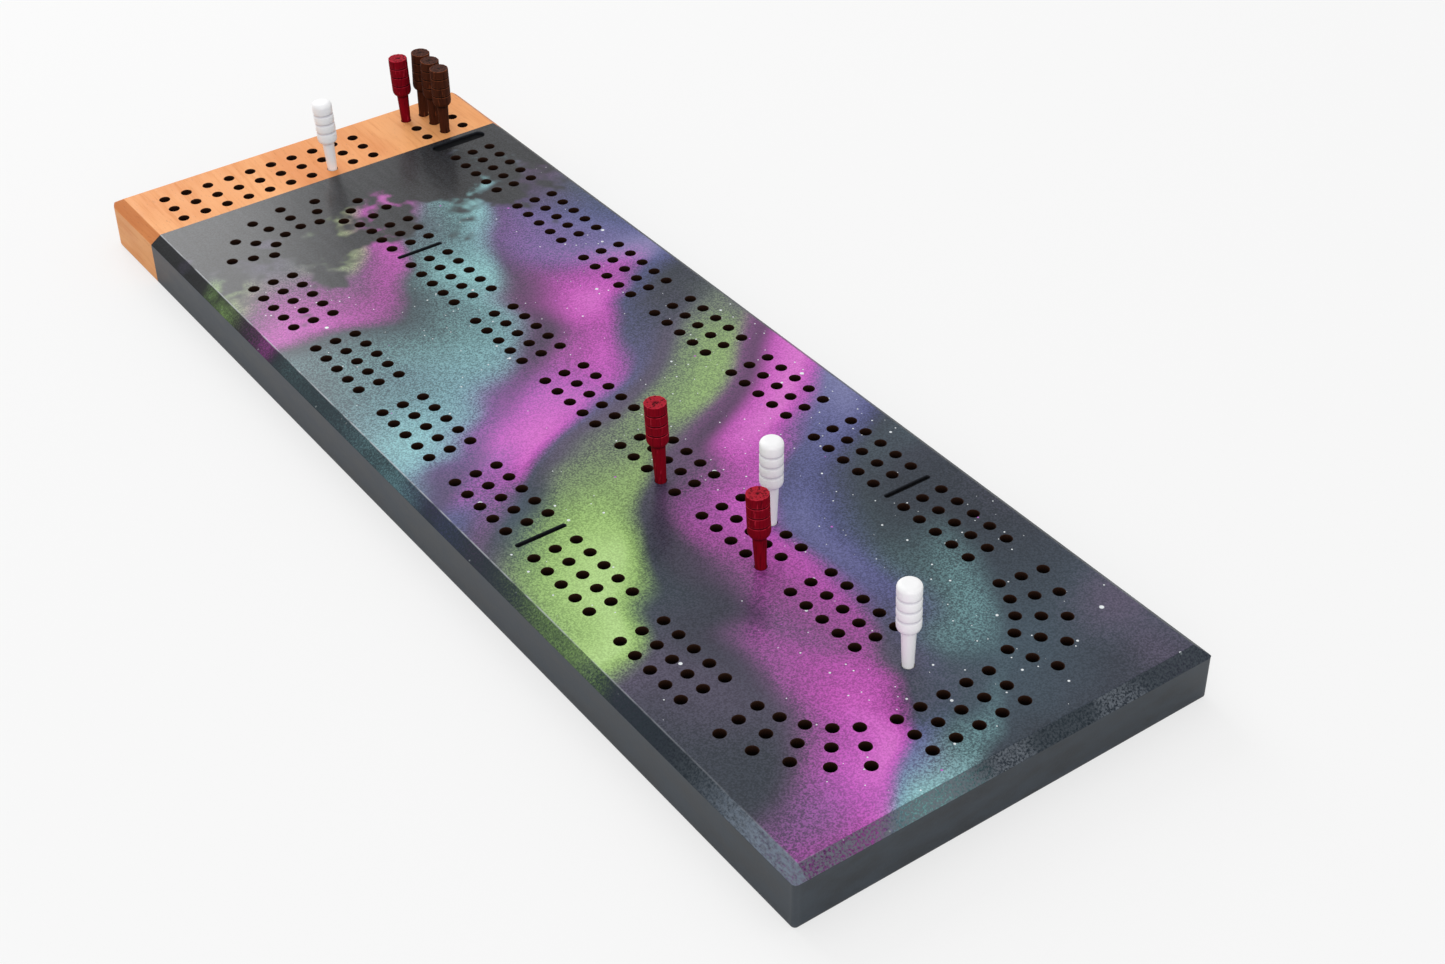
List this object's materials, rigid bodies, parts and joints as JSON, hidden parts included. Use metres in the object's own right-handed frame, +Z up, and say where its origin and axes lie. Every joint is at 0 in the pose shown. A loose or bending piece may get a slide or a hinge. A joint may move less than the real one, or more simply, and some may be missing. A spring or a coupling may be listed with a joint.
{
  "type": "cribbage board",
  "caption": "Flat wooden cribbage board with three looping tracks of drilled holes, a bare-wood end for game and storage holes, and turned pegs.",
  "frame": {"origin": "middle of the plank's underside, in the plane of the table it lies on", "axes": "+Z up, out of the drilled face; +Y along the plank's length, towards the bare wooden end; +X across the plank, towards the first lane of the tracks"},
  "size_m": [0.126, 0.356, 0.0423],
  "materials": {
    "painted_board": "wooden plank with satin sprayed paint under a clear coat, one end left as bare oiled wood",
    "peg_red": "turned wood, crimson stain, rough end grain on top",
    "peg_white": "turned wood, glossy white paint",
    "peg_brown": "turned wood, dark brown stain"
  },
  "bodies": {
    "board": {"board": "painted_board"},
    "peg_red_1": {"peg_red_1": "peg_red"},
    "peg_red_2": {"peg_red_2": "peg_red"},
    "peg_red_3": {"peg_red_3": "peg_red"},
    "peg_white_1": {"peg_white_1": "peg_white"},
    "peg_white_2": {"peg_white_2": "peg_white"},
    "peg_white_3": {"peg_white_3": "peg_white"},
    "peg_brown_1": {"peg_brown_1": "peg_brown"},
    "peg_brown_2": {"peg_brown_2": "peg_brown"},
    "peg_brown_3": {"peg_brown_3": "peg_brown"}
  },
  "joints": [
    {"name": "peg_red_1_lift", "type": "slide", "parent": "board", "child": "peg_red_1", "axis": [0, 0, 1], "range_m": [0, 0.02]},
    {"name": "peg_red_2_lift", "type": "slide", "parent": "board", "child": "peg_red_2", "axis": [0, 0, 1], "range_m": [0, 0.02]},
    {"name": "peg_red_3_lift", "type": "slide", "parent": "board", "child": "peg_red_3", "axis": [0, 0, 1], "range_m": [0, 0.02]},
    {"name": "peg_white_1_lift", "type": "slide", "parent": "board", "child": "peg_white_1", "axis": [0, 0, 1], "range_m": [0, 0.02]},
    {"name": "peg_white_2_lift", "type": "slide", "parent": "board", "child": "peg_white_2", "axis": [0, 0, 1], "range_m": [0, 0.02]},
    {"name": "peg_white_3_lift", "type": "slide", "parent": "board", "child": "peg_white_3", "axis": [0, 0, 1], "range_m": [0, 0.02]},
    {"name": "peg_brown_1_lift", "type": "slide", "parent": "board", "child": "peg_brown_1", "axis": [0, 0, 1], "range_m": [0, 0.02]},
    {"name": "peg_brown_2_lift", "type": "slide", "parent": "board", "child": "peg_brown_2", "axis": [0, 0, 1], "range_m": [0, 0.02]},
    {"name": "peg_brown_3_lift", "type": "slide", "parent": "board", "child": "peg_brown_3", "axis": [0, 0, 1], "range_m": [0, 0.02]}
  ]
}
